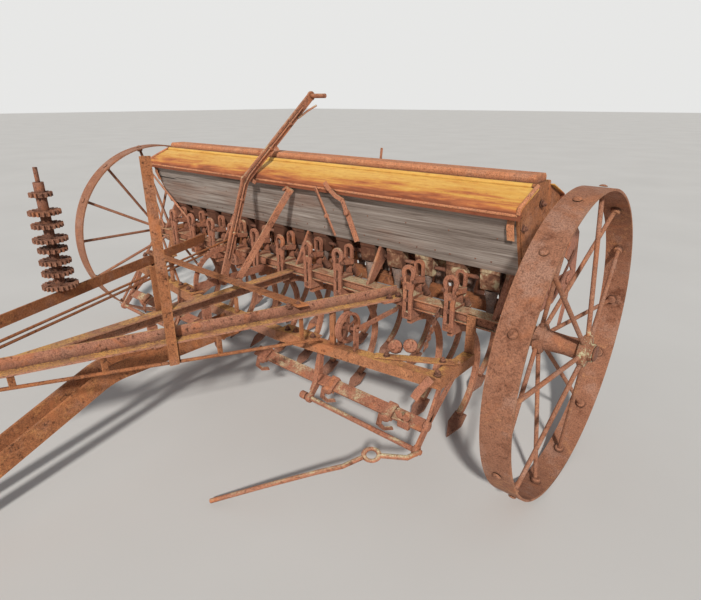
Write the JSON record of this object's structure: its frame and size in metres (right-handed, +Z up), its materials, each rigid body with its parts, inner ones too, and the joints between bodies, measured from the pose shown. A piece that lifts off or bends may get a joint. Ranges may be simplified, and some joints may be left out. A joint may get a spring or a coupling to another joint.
{
  "type": "seed drill",
  "caption": "Old towed combine seed drill: wooden seed hopper over spring tines, two spoked steel wheels, pole frame and a drawbar that rests on the ground.",
  "frame": {"origin": "on the ground, under the centre of the machine's bounding box", "axes": "+X along the width towards the near wheel, +Y back from the hitch to the hopper, +Z up"},
  "size_m": [3.218, 3.0239, 1.58],
  "materials": {
    "rust_steel": "bare rolled steel rusted all over, matte",
    "rust_casting": "rough rusted casting, matte",
    "worn_steel": "dark rusted steel",
    "yellow_paint": "faded yellow paint, rusted through along the edges",
    "grey_wood": "bare weathered grey boards",
    "cream_casting": "cream paint with lichen"
  },
  "bodies": {
    "root": {"axle": "worn_steel", "axle_brackets": "rust_casting", "side_channels": "rust_steel", "front_cross_bar": "rust_steel", "mid_cross_bar": "rust_steel", "rear_cross_bar": "rust_steel", "pole_near": "yellow_paint", "pole_far": "rust_steel", "pole_centre": "yellow_paint", "pole_head": "rust_steel", "pole_cleats": "rust_steel", "pole_brace": "rust_steel", "drawbar_flats": "rust_steel", "hitch_block": "rust_casting", "drawbar_hangers": "rust_steel", "front_frame_near": "rust_steel", "front_frame_far": "rust_steel", "front_tie": "rust_steel", "frame_straps": "rust_steel", "hopper_front_board": "grey_wood", "hopper_rear_board": "grey_wood", "hopper_floor": "grey_wood", "hopper_divider": "grey_wood", "hopper_ends": "rust_casting", "ridge_cap": "rust_steel", "front_lid": "yellow_paint", "hopper_stands": "rust_casting", "feed_cups": "cream_casting", "feed_shafts": "worn_steel", "tine_brackets": "rust_casting", "tine_springs": "worn_steel", "tines": "rust_steel", "tine_points": "worn_steel", "lever_stand": "rust_casting", "upright_bar": "rust_steel", "channel_post": "rust_steel", "gear_spindle": "worn_steel", "change_gears": "rust_casting"},
    "wheel_near": {"wheel_near": "rust_steel"},
    "wheel_far": {"wheel_far": "rust_steel"},
    "rear_lid": {"rear_lid": "yellow_paint"},
    "lift_lever": {"lift_lever": "rust_steel"}
  },
  "joints": [
    {"name": "near_wheel_spin", "type": "hinge", "parent": "root", "child": "wheel_near", "pos_m": [1.497, 0.892, 0.62], "axis": [1, 0, 0], "continuous": true},
    {"name": "far_wheel_spin", "type": "hinge", "parent": "root", "child": "wheel_far", "pos_m": [-1.497, 0.892, 0.62], "axis": [1, 0, 0], "continuous": true},
    {"name": "rear_lid_hinge", "type": "hinge", "parent": "root", "child": "rear_lid", "pos_m": [0, 1.032, 1.224], "axis": [1, 0, 0], "range_deg": [0, 110]},
    {"name": "lift_lever_swing", "type": "hinge", "parent": "root", "child": "lift_lever", "pos_m": [-0.166, 0.462, 0.64], "axis": [1, 0, 0], "range_deg": [0, 60]}
  ]
}
